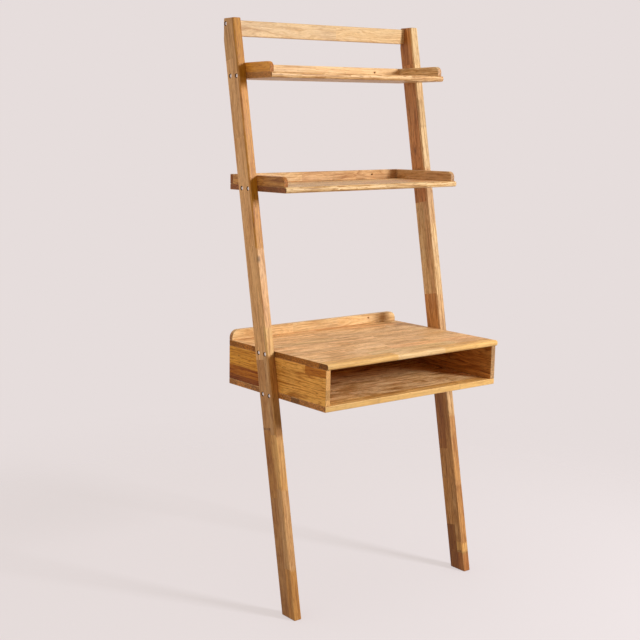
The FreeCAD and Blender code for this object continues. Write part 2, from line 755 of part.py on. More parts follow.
def check(nodes):
    """Stops the build if anything failed to compute or a shape isn't sound."""
    failed = [o.Name for o in doc.Objects if {"Invalid", "Error"} & set(o.State)]
    if failed:
        raise RuntimeError(f"failed objects: {failed}")
    for node in nodes:
        if node.Shape.isNull() or not node.Shape.isValid() or not node.Shape.Solids:
            raise RuntimeError(f"{node.Label} has no sound shape")


def main():
    nodes = wooden_pieces() + fasteners()
    doc.recompute()
    check(nodes)
    os.makedirs("parts", exist_ok=True)
    for node in nodes:
        node.Shape.exportStep(os.path.join("parts", f"{node.Label}.step"))
    print(f"{len(nodes)} nodes")


main()
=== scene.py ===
"""Ladder desk glued up from oak staves: the finish of every piece, the studio and the camera.

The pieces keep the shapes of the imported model. Each wooden piece gets solid wood of its own: rows
of staves that run along its length, end to end, every stave with its own tone, rings and pores.
"""

import math
import random
from dataclasses import dataclass

import bpy
from mathutils import Matrix, Vector


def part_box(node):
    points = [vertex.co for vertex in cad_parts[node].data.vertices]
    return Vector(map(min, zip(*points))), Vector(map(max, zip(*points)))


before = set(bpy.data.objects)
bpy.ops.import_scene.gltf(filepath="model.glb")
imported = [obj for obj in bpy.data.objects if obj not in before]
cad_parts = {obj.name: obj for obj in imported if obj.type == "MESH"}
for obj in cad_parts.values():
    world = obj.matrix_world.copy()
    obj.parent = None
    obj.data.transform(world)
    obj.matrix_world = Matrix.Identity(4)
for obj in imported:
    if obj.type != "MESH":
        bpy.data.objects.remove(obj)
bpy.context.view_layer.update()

MM = 0.001
AXES = {"X": Vector((1, 0, 0)), "Y": Vector((0, 1, 0)), "Z": Vector((0, 0, 1))}

# The uprights lean back by this angle.
LEAN = math.radians(10.6)
UP_THE_LEAN = Vector((0, math.sin(LEAN), math.cos(LEAN)))
BACK_FROM_FRONT = Vector((0, math.cos(LEAN), -math.sin(LEAN)))

# The camera's place and aim, with its picture taken from the right of a wider view.
CAMERA_PLACE = Vector((-2.4026, -2.6710, 1.4295))
CAMERA_YAW = math.radians(33.593)
CAMERA_PITCH = math.radians(-10.229)
CAMERA_ROLL = math.radians(0.032)
PICTURE_SIZE = 640
FOCAL_PIXELS = 1180.9
AXIS_PIXEL = (192.26, 336.18)
SENSOR_WIDTH = 36.0

# The backdrop's tone, as sRGB.
BACKDROP = (230, 221, 220)


def linear(colour):
    """The linear value of an sRGB colour whose parts run from 0 to 255, with full opacity."""
    parts = [part / 255 for part in colour]
    curved = [p / 12.92 if p <= 0.04045 else ((p + 0.055) / 1.055) ** 2.4 for p in parts]
    return (*curved, 1.0)


class Graph:
    """A node tree under construction. Each method adds one node and returns an output of it."""

    def __init__(self, tree):
        self.tree = tree
        tree.nodes.clear()

    def node(self, kind, inputs=None, **settings):
        node = self.tree.nodes.new(f"ShaderNode{kind}")
        for name, value in settings.items():
            setattr(node, name, value)
        for name, value in (inputs or {}).items():
            if isinstance(value, bpy.types.NodeSocket):
                self.tree.links.new(value, node.inputs[name])
            else:
                node.inputs[name].default_value = value
        return node

    def math(self, operation, *values, clamp=False):
        inputs = dict(enumerate(values))
        return self.node("Math", inputs, operation=operation, use_clamp=clamp).outputs[0]

    def dot(self, vector, axis):
        inputs = {0: vector, 1: tuple(axis)}
        return self.node("VectorMath", inputs, operation="DOT_PRODUCT").outputs["Value"]

    def vector(self, x, y, z):
        return self.node("CombineXYZ", {"X": x, "Y": y, "Z": z}).outputs[0]

    def span(self, value, low, high, to_low=0.0, to_high=1.0):
        """Carries value from low..high to to_low..to_high, smoothly and never past either end."""
        inputs = {"Value": value, 1: low, 2: high, 3: to_low, 4: to_high}
        return self.node("MapRange", inputs, interpolation_type="SMOOTHSTEP").outputs[0]

    def noise(self, vector, scale=1.0, detail=2.0, roughness=0.5, distortion=0.0):
        inputs = {"Vector": vector, "Scale": scale, "Detail": detail}
        inputs |= {"Roughness": roughness, "Distortion": distortion}
        return self.node("TexNoise", inputs).outputs["Fac"]

    def chances(self, vector):
        """Three random numbers from 0 to 1, the same wherever vector is the same."""
        colour = self.node("TexWhiteNoise", {"Vector": vector}).outputs["Color"]
        return list(self.node("SeparateColor", {"Color": colour}).outputs)

    def pick(self, chance, low, high):
        """The value from low to high that a chance from 0 to 1 stands for."""
        return self.math("MULTIPLY_ADD", chance, high - low, low)

    def ramp(self, value, stops, interpolation="LINEAR"):
        """A colour ramp through stops, each a place from 0 to 1 and a colour."""
        node = self.node("ValToRGB", {"Fac": value})
        ramp = node.color_ramp
        ramp.interpolation = interpolation
        while len(ramp.elements) < len(stops):
            ramp.elements.new(0.5)
        for element, (place, colour) in zip(ramp.elements, stops):
            element.position = place
            element.color = colour
        return node.outputs["Color"]

    def mix(self, share, a, b, blend="MIX"):
        inputs = {0: share, 6: a, 7: b}
        return self.node("Mix", inputs, data_type="RGBA", blend_type=blend).outputs[2]

    def finish(self, shader):
        self.node("OutputMaterial", {"Surface": shader})


# ---------------------------------------------------------------- wood

# Tones of oiled oak staves, as sRGB.
TONES = {
    "blond": (252, 216, 162),
    "pale": (242, 204, 150),
    "blush": (246, 196, 142),
    "peach": (240, 186, 126),
    "cream": (234, 198, 146),
    "straw": (240, 192, 120),
    "sand": (222, 180, 130),
    "gold": (226, 172, 102),
    "amber": (232, 162, 66),
    "golden": (251, 184, 92),
    "honey": (209, 142, 36),
    "tan": (218, 168, 112),
    "apricot": (250, 206, 152),
    "orange": (206, 147, 78),
    "biscuit": (235, 182, 125),
    "copper": (209, 153, 93),
    "bronze": (218, 160, 98),
    "flax": (254, 219, 166),
    "tawny": (211, 151, 95),
    "olive": (188, 136, 81),
    "ochre": (238, 168, 66),
    "toffee": (205, 129, 44),
    "russet": (185, 122, 66),
    "umber": (158, 101, 48),
    "brown": (190, 116, 34),
    "chestnut": (156, 86, 30),
}

# How the pieces are glued up. Each row of staves is its width in millimetres and its staves from
# one end to the other: where each stave ends, in millimetres from the start, and its tone.
LEFT_UPRIGHT_ROWS = [
    # The first row holds the upright's front face. Its stave from 540 to 780 mm is a darker orange,
    # which paints the shade that the desk casts on that face.
    (7, [
        (150, "orange"), (385, "tan"), (540, "gold"), (780, "orange"), (860, "straw"),
        (1090, "peach"), (1215, "honey"), (1420, "honey"), (1590, "amber"), (1800, "honey"),
    ]),
    (15, [
        (150, "orange"), (385, "tan"), (540, "gold"), (780, "tan"), (1095, "peach"),
        (1415, "biscuit"), (1600, "biscuit"), (1800, "tan"),
    ]),
    (37, [
        (355, "olive"), (560, "orange"), (765, "copper"), (1095, "peach"), (1415, "biscuit"),
        (1640, "biscuit"), (1800, "tan"),
    ]),
]
RIGHT_UPRIGHT_ROWS = [
    (7, [
        (62, "russet"), (90, "gold"), (283, "bronze"), (508, "bronze"), (905, "sand"),
        (1130, "pale"), (1310, "sand"), (1530, "cream"), (1640, "pale"), (1800, "cream"),
    ]),
    (15, [
        (62, "russet"), (90, "gold"), (283, "tan"), (508, "copper"), (905, "copper"),
        (1200, "sand"), (1310, "tawny"), (1640, "tawny"), (1800, "tawny"),
    ]),
    (37, [
        (150, "umber"), (395, "bronze"), (585, "russet"), (905, "copper"), (1200, "cream"),
        (1310, "tawny"), (1640, "tawny"), (1800, "russet"),
    ]),
]
DESK_LEFT_ROWS = [
    (17, [(300, "golden"), (460, "chestnut")]),
    (29, [(275, "golden"), (460, "brown")]),
    (34, [(290, "golden"), (460, "ochre")]),
    (23, [(90, "toffee"), (290, "golden"), (460, "ochre")]),
]
DESK_LIP_ROWS = [(31, [(235, "pale"), (420, "cream"), (673, "pale")])]
RAIL_ROWS = [(45, [(385, "cream"), (673, "cream")])]

# Length of the fingers that join two staves, end to end, and the width of one finger.
FINGER_LENGTH = 9 * MM
FINGER_WIDTH = 4 * MM

# The glue line at a stave's end is this wide and this much of the stave's tone. Between two rows
# it is darkest up to the first of two distances and gone at the second.
GLUE_LINE = 0.5 * MM
GLUE_SHADE = 0.62
ROW_LINE = (0.1 * MM, 0.5 * MM)

# Staves of one tone differ a little, within these factors.
STAVE_SHADES = (0.93, 1.06)

# The staves of a random board: their usual width and their shortest and longest length, in
# millimetres, and how much of the longest the first one of a row may be.
STAVE_WIDTH = 39
STAVE_LENGTHS = (150, 420)
FIRST_STAVE = (0.3, 1.0)

# The growth rings, as half rings to the metre of distance from the pith, how far they wander and
# how far a knot pushes them aside.
HALF_RINGS = 480.0
RING_SWAY = 16 * MM
KNOT_PUSH = 8 * MM

# Where the pith of the tree lies from the edge of a stave, across it and below its face, and how
# it slopes along the stave. Each is a range, and every stave's chances pick from it.
PITH_ACROSS = (-60 * MM, 100 * MM)
PITH_DEPTH = (-15 * MM, -85 * MM)
PITH_SLOPE = (-0.035, 0.035)

# The patterns of two staves lie up to this far apart, along the grain and in the third direction
# of the noise that bends the rings.
STAVE_SHIFT = 91.0
SWAY_SHIFT = 37.0

# The noise behind each kind of mark, in waves to the metre along the grain and aside from it: the
# bends of the rings, broad bands, fine streaks, flecks, fibres, fine pores, clouds and the patches
# of paler edges, which are wear and painted highlight. The specks of end grain are as fine both
# ways.
BEND_WAVES = (6.0, 24.0)
BAND_WAVES = (3.0, 95.0)
STREAK_WAVES = (7.0, 240.0)
FLECK_WAVES = (40.0, 300.0)
FIBRE_WAVES = (8.0, 270.0)
PORE_WAVES = (60.0, 900.0)
CLOUD_WAVES = (9.0, 26.0)
WORN_HIGHLIGHT_WAVES = (30.0, 1.0)
SPECK_WAVES = 200.0

# How much of the figure comes from the streaks, the bands and the rings.
STREAK_SHARE = 0.7
BAND_SHARE = 0.3
RING_SHARE = 0.05

# How far knots, pores and the lines between rows darken the wood, and how far flecks do on a board
# of contrast 1.
KNOT_STRENGTH = 0.85
PORE_STRENGTH = 0.5
LINE_STRENGTH = 0.35
FLECK_STRENGTH = 0.75

# The stave at a calm board's front edge is calm up to the first of these distances from it, and
# like the others from the second on.
CALM_STRIP = (8 * MM, 16 * MM)

# An edge is paler, with wear and a painted highlight, most up to the first distance from it, and
# not at all from the second on.
WORN_HIGHLIGHT_STRIP = (0.4 * MM, 3.0 * MM)

# Painted shade darkens an upright's wood between these depths below its outer faces, which only its
# bores reach.
BORE_SHADE_DEPTHS = (0.9 * MM, 1.6 * MM)

# From pale early wood to dark late wood, as factors of the stave's tone.
FIGURE_SHADES = [
    (0.32, (1.20, 1.24, 1.30)),
    (0.46, (1.05, 1.06, 1.07)),
    (0.54, (0.86, 0.78, 0.66)),
    (0.66, (0.44, 0.27, 0.13)),
]
# Slow clouds, here a little redder and there a little paler, and the specks of end grain.
CLOUD_SHADES = [(0.3, (1.05, 1.03, 0.96)), (0.7, (0.95, 0.95, 0.98))]
SPECKLE_SHADES = [(0.32, (0.5, 0.44, 0.38)), (0.5, (1.0, 1.0, 1.0)), (0.68, (1.6, 1.6, 1.6))]
FLECK_SHADE = (0.48, 0.30, 0.15, 1.0)

# Linear colours of what is darker than any stave, the last one painted shade for the walls of the
# bores, and the sRGB tone of the edges, paler with wear and a painted highlight.
PORE_DARK = (0.16, 0.075, 0.03, 1.0)
END_RING_DARK = (0.12, 0.05, 0.02, 1.0)
KNOT_DARK = (0.09, 0.035, 0.012, 1.0)
BORE_PAINTED_SHADE = (0.06, 0.03, 0.014, 1.0)
WORN_HIGHLIGHT_TONE = (248, 208, 150)


@dataclass
class Board:
    """How one wooden piece lies in the frame and how it is glued up.

    grain, across and depth are the directions of the staves' length, width and thickness, and
    corner is where all three start. ends is the tone of its end grain, ends_vary how much that
    differs from stave to stave, and mottle how speckled it is. figure is how much the rings
    wander, contrast how strong they are, and spread draws them out across the board where it is
    under 1. calm is how much of them the stave at the front edge lacks. roughness and shine are
    those of its oil. Each knot is its place along, across and into the board and its radius, in
    millimetres. A board with shaded_bores has bores in it, and their walls get painted shade.
    """

    corner: Vector
    grain: Vector
    across: Vector
    depth: Vector
    size: Vector
    rows: list
    seed: int
    ends: tuple = (146, 82, 32)
    ends_vary: float = 0.25
    mottle: float = 1.0
    figure: float = 1.0
    contrast: float = 0.85
    spread: float = 1.0
    calm: float = 0.0
    roughness: float = 0.44
    shine: float = 0.38
    knots: tuple = ()
    shaded_bores: bool = False


@dataclass
class Point:
    """A surface point, as the nodes of a material know it.

    along, across and depth are its distances from the board's corner. tone is its stave's, lines
    is its nearness to a glue line between two rows (None on a board of one row), and chances are
    three random numbers of its stave. shift moves the patterns along by another distance on every
    stave. knots is its nearness to a knot, radius its distance from the pith of the tree, and
    latewood how late in the year its wood grew.
    """

    along: bpy.types.NodeSocket
    across: bpy.types.NodeSocket
    depth: bpy.types.NodeSocket
    tone: bpy.types.NodeSocket
    lines: bpy.types.NodeSocket
    chances: list
    shift: bpy.types.NodeSocket
    knots: bpy.types.NodeSocket
    radius: bpy.types.NodeSocket
    latewood: bpy.types.NodeSocket


def random_rows(seed, size, tones, front=None):
    """Rows of about the usual width, with staves of random lengths and tones.

    The first row takes its tones from front, if that is given.
    """
    rng = random.Random(seed)
    count = max(1, round(size.y / MM / STAVE_WIDTH))
    rows = []
    for row in range(count):
        palette = front if front and row == 0 else tones
        end = rng.uniform(*FIRST_STAVE) * STAVE_LENGTHS[1]
        staves = [(end, rng.choice(palette))]
        while end < size.x / MM:
            end += rng.uniform(*STAVE_LENGTHS)
            staves.append((end, rng.choice(palette)))
        rows.append((size.y / MM / count, staves))
    return rows


def row_of_staves(g, place, length, staves, rng):
    """The tones of one row: place is where along the row, and a thin glue line parts the staves."""
    stops = []
    start = 0.0
    for end, tone in staves:
        shade = rng.uniform(*STAVE_SHADES)
        colour = tuple(part * shade for part in linear(TONES[tone])[:3]) + (1.0,)
        if stops:
            glue = tuple(part * GLUE_SHADE for part in colour[:3]) + (1.0,)
            stops.append((start / length, glue))
            stops.append(((start + GLUE_LINE / MM) / length, colour))
        else:
            stops.append((0.0, colour))
        start = end
        if start >= length:
            break
    return g.ramp(g.math("DIVIDE", place, length * MM), stops, "CONSTANT")


def glued_up(g, board, along, across, depth):
    """At each point, its stave's tone, its nearness to a glue line and its place in the row."""
    rng = random.Random(board.seed)
    length = board.size.x / MM
    fingers = g.math("PINGPONG", depth, FINGER_WIDTH / 2)
    place = g.math("MULTIPLY_ADD", fingers, 2 * FINGER_LENGTH / FINGER_WIDTH, along)
    colour = None
    lines = None
    in_row = across
    start = 0.0
    last_width = 0.0
    for width, staves in board.rows:
        row = row_of_staves(g, place, length, staves, rng)
        if colour is None:
            colour = row
        else:
            beyond = g.math("GREATER_THAN", across, start * MM)
            colour = g.mix(beyond, colour, row)
            in_row = g.math("MULTIPLY_ADD", beyond, -last_width * MM, in_row)
            apart = g.math("ABSOLUTE", g.math("SUBTRACT", across, start * MM))
            line = g.span(apart, *ROW_LINE, 1.0, 0.0)
            lines = line if lines is None else g.math("MAXIMUM", lines, line)
        start += width
        last_width = width
    return colour, lines, in_row


def powered(shades, power):
    """The stops of a colour ramp, with factors that are stronger the higher the power is."""
    return [(place, (*(part**power for part in shade), 1.0)) for place, shade in shades]


def knot_nearness(g, board, along, across, depth):
    """1 in the heart of a knot and 0 outside it. A knot is twice as long along the grain."""
    nearness = 0.0
    for knot_along, knot_across, knot_depth, size in board.knots:
        apart = g.vector(
            g.math("MULTIPLY", g.math("SUBTRACT", along, knot_along * MM), 0.5),
            g.math("SUBTRACT", across, knot_across * MM),
            g.math("SUBTRACT", depth, knot_depth * MM),
        )
        distance = g.node("VectorMath", {0: apart}, operation="LENGTH").outputs["Value"]
        nearness = g.math("MAXIMUM", nearness, g.span(distance, 0.0, size * MM, 1.0, 0.0))
    return nearness


def growth_rings(g, board, along, across, depth, chances, knots):
    """Distance from the pith of the tree that a stave was sawn from, bent by noise and knots.

    The pith lies off the stave by a random amount and runs at a small angle to it.
    """
    pith_across = g.pick(chances[0], *PITH_ACROSS)
    pith_depth = g.pick(chances[1], *PITH_DEPTH)
    slope = g.pick(chances[2], *PITH_SLOPE)
    a = g.math("MULTIPLY_ADD", across, board.spread, g.math("MULTIPLY", pith_across, -1.0))
    b = g.math("SUBTRACT", depth, pith_depth)
    reach = g.math("SQRT", g.math("ADD", g.math("MULTIPLY", a, a), g.math("MULTIPLY", b, b)))
    run_out = g.math("MULTIPLY_ADD", along, slope, reach)
    along_waves, aside_waves = BEND_WAVES
    place = g.vector(
        g.math("MULTIPLY", along, along_waves),
        g.math("MULTIPLY", across, aside_waves),
        g.math("MULTIPLY_ADD", chances[0], SWAY_SHIFT, g.math("MULTIPLY", depth, aside_waves)),
    )
    sway = g.math("SUBTRACT", g.noise(place, detail=2.0, roughness=0.5), 0.5)
    bent = g.math("MULTIPLY_ADD", sway, RING_SWAY * board.figure, run_out)
    return g.math("MULTIPLY_ADD", knots, KNOT_PUSH, bent)


def point_in_board(g, board, place):
    """Works out where a surface point lies in its board, in its stave and in the tree."""
    offset = g.node("VectorMath", {0: place, 1: tuple(board.corner)}, operation="SUBTRACT")
    along = g.dot(offset.outputs[0], board.grain)
    across = g.dot(offset.outputs[0], board.across)
    depth = g.dot(offset.outputs[0], board.depth)
    tone, lines, in_row = glued_up(g, board, along, across, depth)
    chances = g.chances(tone)
    shift = g.math("MULTIPLY", chances[0], STAVE_SHIFT)
    knots = knot_nearness(g, board, along, across, depth)
    radius = growth_rings(g, board, along, in_row, depth, chances, knots)
    latewood = g.math("PINGPONG", g.math("MULTIPLY", radius, HALF_RINGS), 1.0)
    return Point(along, across, depth, tone, lines, chances, shift, knots, radius, latewood)


def grain_place(g, point, waves, shift=0.0):
    """Coordinates for noise that is drawn out along the grain."""
    along_waves, aside_waves = waves
    return g.vector(
        g.math("MULTIPLY_ADD", point.along, along_waves, shift),
        g.math("MULTIPLY", point.across, aside_waves),
        g.math("MULTIPLY", point.depth, aside_waves),
    )


def streaks(g, point, waves, seed, detail):
    """Noise in streaks that run along the grain and bend with the rings."""
    along_waves, aside_waves = waves
    place = g.vector(
        g.math("MULTIPLY_ADD", point.along, along_waves, point.shift),
        g.math("MULTIPLY", point.radius, aside_waves),
        seed,
    )
    return g.noise(place, detail=detail, roughness=0.72)


def ring_figure(g, board, point):
    """Fine streaks, broad bands and the rings, which together make the figure of the wood."""
    bands = streaks(g, point, BAND_WAVES, board.seed, 2.0)
    fine = streaks(g, point, STREAK_WAVES, board.seed, 4.0)
    figure = g.math("MULTIPLY_ADD", fine, STREAK_SHARE, g.math("MULTIPLY", bands, BAND_SHARE))
    rings = g.math("SUBTRACT", point.latewood, 0.5)
    return g.math("MULTIPLY_ADD", rings, RING_SHARE, figure)


def flecks(g, board, point):
    """How much of a point lies in the dark flecks and fibres of open vessels."""
    short = g.noise(grain_place(g, point, FLECK_WAVES, point.shift), detail=2.0)
    drawn_out = g.noise(grain_place(g, point, FIBRE_WAVES, point.shift), detail=3.0)
    share = g.math("MAXIMUM", g.span(short, 0.53, 0.72), g.span(drawn_out, 0.52, 0.68))
    return g.math("MULTIPLY", share, min(1.0, FLECK_STRENGTH * board.contrast))


def fine_pores(g, point):
    """How much of a point lies in fine pores, which are fewer in late wood."""
    share = g.span(g.noise(grain_place(g, point, PORE_WAVES), detail=1.0), 0.58, 0.72)
    return g.math("MULTIPLY", share, g.span(point.latewood, 0.1, 0.8, 1.0, 0.35))


def side_grain(g, board, point, figure, pores):
    """The colour where the grain runs along the face, from the stave's tone to its pores."""
    shades = g.ramp(figure, powered(FIGURE_SHADES, board.contrast))
    colour = g.mix(1.0, point.tone, shades, "MULTIPLY")
    colour = g.mix(g.math("MULTIPLY", point.knots, KNOT_STRENGTH), colour, KNOT_DARK)
    fleck = g.mix(1.0, point.tone, FLECK_SHADE, "MULTIPLY")
    colour = g.mix(flecks(g, board, point), colour, fleck)
    if board.calm:
        calm = g.span(point.across, *CALM_STRIP, board.calm, 0.0)
        colour = g.mix(calm, colour, point.tone)
    clouds = g.noise(grain_place(g, point, CLOUD_WAVES, point.shift), detail=2.0)
    colour = g.mix(1.0, colour, g.ramp(clouds, powered(CLOUD_SHADES, 1.0)), "MULTIPLY")
    colour = g.mix(g.math("MULTIPLY", pores, PORE_STRENGTH), colour, PORE_DARK)
    if point.lines is not None:
        colour = g.mix(g.math("MULTIPLY", point.lines, LINE_STRENGTH), colour, PORE_DARK)
    return colour


def end_grain(g, board, point):
    """The colour of end grain: darker, because it soaks up more oil, and full of open pores."""
    across = g.math("MULTIPLY", point.across, SPECK_WAVES)
    depth = g.math("MULTIPLY", point.depth, SPECK_WAVES)
    specks = g.noise(g.vector(0.0, across, depth), detail=4.0, roughness=0.7)
    low = 1.0 - board.ends_vary
    high = 1.0 + board.ends_vary
    stave_shades = [(0.0, (low, low, low, 1.0)), (1.0, (high, high, high, 1.0))]
    tone = g.mix(1.0, linear(board.ends), g.ramp(point.chances[2], stave_shades), "MULTIPLY")
    tone = g.mix(1.0, tone, g.ramp(specks, powered(SPECKLE_SHADES, board.mottle)), "MULTIPLY")
    return g.mix(g.span(point.latewood, 0.4, 1.0, 0.0, 0.3), tone, END_RING_DARK)


def edge_nearness(g, board, point):
    """1 at the piece's edges and 0 a few millimetres away from them, on its faces.

    Of a surface point's distances to the three pairs of faces, the smallest is that to its own
    face, so the second smallest is the distance to the nearest edge.
    """
    distances = []
    for value, length in zip((point.along, point.across, point.depth), board.size):
        distances.append(g.math("MINIMUM", value, g.math("SUBTRACT", length, value)))
    a, b, c = distances
    low, high = g.math("MINIMUM", a, b), g.math("MAXIMUM", a, b)
    second = g.math("MAXIMUM", low, g.math("MINIMUM", high, c))
    return g.span(second, *WORN_HIGHLIGHT_STRIP, 1.0, 0.0)


def wear_and_highlight(g, board, point):
    """How much paler the edges are, from sanding wear and a painted highlight: only near the edges,
    and there in patches.
    """
    patches = g.span(g.noise(grain_place(g, point, WORN_HIGHLIGHT_WAVES), detail=3.0), 0.35, 0.7)
    share = g.math("MULTIPLY_ADD", patches, 0.25, 0.05)
    return g.math("MULTIPLY", edge_nearness(g, board, point), share)


def bore_shade_mask(g, node, board, place, point):
    """Where the painted shade in an upright's bores goes: 1 on their walls, which lie below its
    outer faces, and 0 on those faces.
    """
    low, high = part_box(node)
    parts = g.node("SeparateXYZ", {0: place}).outputs
    nearest = g.math("MINIMUM", parts["Z"], g.math("SUBTRACT", high.z, parts["Z"]))
    nearest = g.math("MINIMUM", nearest, g.math("SUBTRACT", high.y, parts["Y"]))
    for value, length in ((point.across, board.size.y), (point.depth, board.size.z)):
        nearest = g.math("MINIMUM", nearest, value)
        nearest = g.math("MINIMUM", nearest, g.math("SUBTRACT", length, value))
    return g.span(nearest, *BORE_SHADE_DEPTHS)


def oiled(g, board, point, colour, figure, pores, end):
    """The wood's surface: rougher on pores and end grain, with pores and glue lines sunk in."""
    roughness = g.math("MULTIPLY_ADD", figure, 0.22, board.roughness - 0.11)
    roughness = g.math("MULTIPLY_ADD", pores, 0.2, roughness)
    roughness = g.math("MULTIPLY_ADD", end, 0.2, roughness, clamp=True)
    relief = g.math("MULTIPLY_ADD", pores, -0.8, g.math("MULTIPLY", point.latewood, 0.25))
    if point.lines is not None:
        relief = g.math("MULTIPLY_ADD", point.lines, -0.4, relief)
    bump = g.node("Bump", {"Strength": 0.3, "Distance": 0.2 * MM, "Height": relief})
    shader = g.node(
        "BsdfPrincipled",
        {"Base Color": colour, "Roughness": roughness, "Normal": bump.outputs[0]},
    )
    shader.inputs["IOR"].default_value = 1.45
    shader.inputs["Specular IOR Level"].default_value = board.shine
    return shader.outputs[0]


def oak(node, board):
    """Solid oiled oak: stave tones, streaks along the rings, pores, end grain, worn edges with a
    painted highlight and painted shade in bores.
    """
    material = bpy.data.materials.new(f"oak_{node}")
    material.use_nodes = True
    g = Graph(material.node_tree)
    coordinates = g.node("TexCoord").outputs
    place = coordinates["Object"]
    point = point_in_board(g, board, place)
    figure = ring_figure(g, board, point)
    pores = fine_pores(g, point)
    facing = g.math("ABSOLUTE", g.dot(coordinates["Normal"], board.grain))
    end = g.span(facing, 0.55, 0.9)
    colour = side_grain(g, board, point, figure, pores)
    colour = g.mix(end, colour, end_grain(g, board, point))
    # Paler edges: in part sanding wear, in part a painted highlight.
    colour = g.mix(wear_and_highlight(g, board, point), colour, linear(WORN_HIGHLIGHT_TONE))
    # Painted shade on the walls of the uprights' bores.
    if board.shaded_bores:
        colour = g.mix(bore_shade_mask(g, node, board, place, point), colour, BORE_PAINTED_SHADE)
    g.finish(oiled(g, board, point, colour, figure, pores, end))
    return material


def level_board(node, axes, seed, rows=None, tones=("gold", "tan"), front=None, **choices):
    """A board along the frame's own axes, given as letters for its grain, width and thickness."""
    low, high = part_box(node)
    grain, across, depth = (AXES[letter] for letter in axes)
    size = Vector(abs((high - low).dot(axis)) for axis in (grain, across, depth))
    rows = rows or random_rows(seed, size, tones, front)
    return Board(low, grain, across, depth, size, rows, seed, **choices)


def leaning_board(node, seed, rows, **choices):
    """An upright, whose staves run up the lean and lie side by side from front to back."""
    low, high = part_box(node)
    corner = Vector((low.x, low.y, 0.0))
    width = sum(row_width for row_width, _ in rows) * MM
    length = high.z / math.cos(LEAN) + width * math.tan(LEAN)
    size = Vector((length, width, high.x - low.x))
    axes = (UP_THE_LEAN, BACK_FROM_FRONT, AXES["X"])
    return Board(corner, *axes, size, rows, seed, shaded_bores=True, **choices)


def boards():
    """How each wooden piece is glued up."""
    left_lips = {"ends": (174, 110, 54), "axes": "YZX"}
    right_lips = {"ends": (201, 156, 116), "axes": "YZX"}
    left_knots = [(1060, 1, 3, 9)]
    right_knots = [(1370, 35, 0, 8)]
    return {
        "left_upright": leaning_board("left_upright", 1, LEFT_UPRIGHT_ROWS, knots=left_knots),
        "right_upright": leaning_board(
            "right_upright", 2, RIGHT_UPRIGHT_ROWS, knots=right_knots, contrast=1.1
        ),
        "top_rail": level_board("top_rail", "XZY", 3, RAIL_ROWS, figure=2.2, contrast=0.55),
        "upper_shelf_board": level_board(
            "upper_shelf_board", "XYZ", 4, tones=("pale", "blond", "pale"), front=("apricot",),
            ends=(187, 125, 64), contrast=1.3, spread=0.5,
        ),
        "upper_shelf_back_lip": level_board(
            "upper_shelf_back_lip", "XZY", 5, tones=("pale", "cream"), contrast=0.55
        ),
        "upper_shelf_left_lip": level_board(
            "upper_shelf_left_lip", seed=6, tones=("amber",), **left_lips
        ),
        "upper_shelf_right_lip": level_board(
            "upper_shelf_right_lip", seed=7, tones=("cream",), contrast=1.6, **right_lips
        ),
        "middle_shelf_board": level_board(
            "middle_shelf_board", "XYZ", 8, tones=("blond", "pale", "blush"), front=("pale",),
            ends=(145, 88, 50), figure=0.6, contrast=1.5, spread=0.5,
        ),
        "middle_shelf_back_lip": level_board(
            "middle_shelf_back_lip", "XZY", 9, tones=("sand", "cream"), figure=3.2, contrast=0.9
        ),
        "middle_shelf_left_lip": level_board(
            "middle_shelf_left_lip", seed=10, tones=("orange",), contrast=1.9, **left_lips
        ),
        "middle_shelf_right_lip": level_board(
            "middle_shelf_right_lip", seed=11, tones=("sand",), **right_lips
        ),
        "desk_top": level_board(
            "desk_top", "XYZ", 12, front=("pale", "straw"), ends=(163, 100, 34), ends_vary=0.5,
            tones=("apricot", "apricot", "blush", "apricot", "pale", "apricot"), mottle=1.4,
            figure=0.35, contrast=1.02, spread=0.6, calm=0.5, roughness=0.56,
        ),
        "desk_bottom": level_board(
            "desk_bottom", "XYZ", 13, tones=("flax", "flax", "blond"), front=("straw", "pale"),
            ends=(166, 109, 54), ends_vary=0.7, mottle=1.6, figure=0.8, contrast=1.9, spread=0.5,
            calm=0.7,
        ),
        "desk_left_side": level_board(
            "desk_left_side", "YZX", 14, DESK_LEFT_ROWS, ends=(224, 169, 106), mottle=0.4,
            contrast=1.2, shine=0.12,
        ),
        "desk_right_side": level_board(
            "desk_right_side", "YZX", 15, tones=("orange", "toffee", "russet"), ends=(190, 145, 98),
            figure=1.6, contrast=1.5,
        ),
        "desk_back": level_board("desk_back", "XZY", 17, tones=("tan", "orange", "gold")),
        "desk_back_lip": level_board(
            "desk_back_lip", "XZY", 16, DESK_LIP_ROWS, ends=(165, 115, 72), contrast=0.7
        ),
    }


def dowel_beech():
    """Pale beech of the dowels, with short flecks along the wood."""
    material = bpy.data.materials.new("dowel_beech")
    material.use_nodes = True
    g = Graph(material.node_tree)
    place = g.node("TexCoord").outputs["Object"]
    flecks = g.noise(place, scale=420.0, detail=4.0, roughness=0.65)
    stops = [(0.3, linear((205, 165, 122))), (0.6, linear((226, 190, 148)))]
    relief = g.node("Bump", {"Strength": 0.2, "Distance": 0.1 * MM, "Height": flecks})
    roughness = g.math("MULTIPLY_ADD", flecks, 0.2, 0.5)
    shader = g.node(
        "BsdfPrincipled",
        {"Base Color": g.ramp(flecks, stops), "Roughness": roughness, "Normal": relief.outputs[0]},
    )
    g.finish(shader.outputs[0])
    return material


# ---------------------------------------------------------------- metal


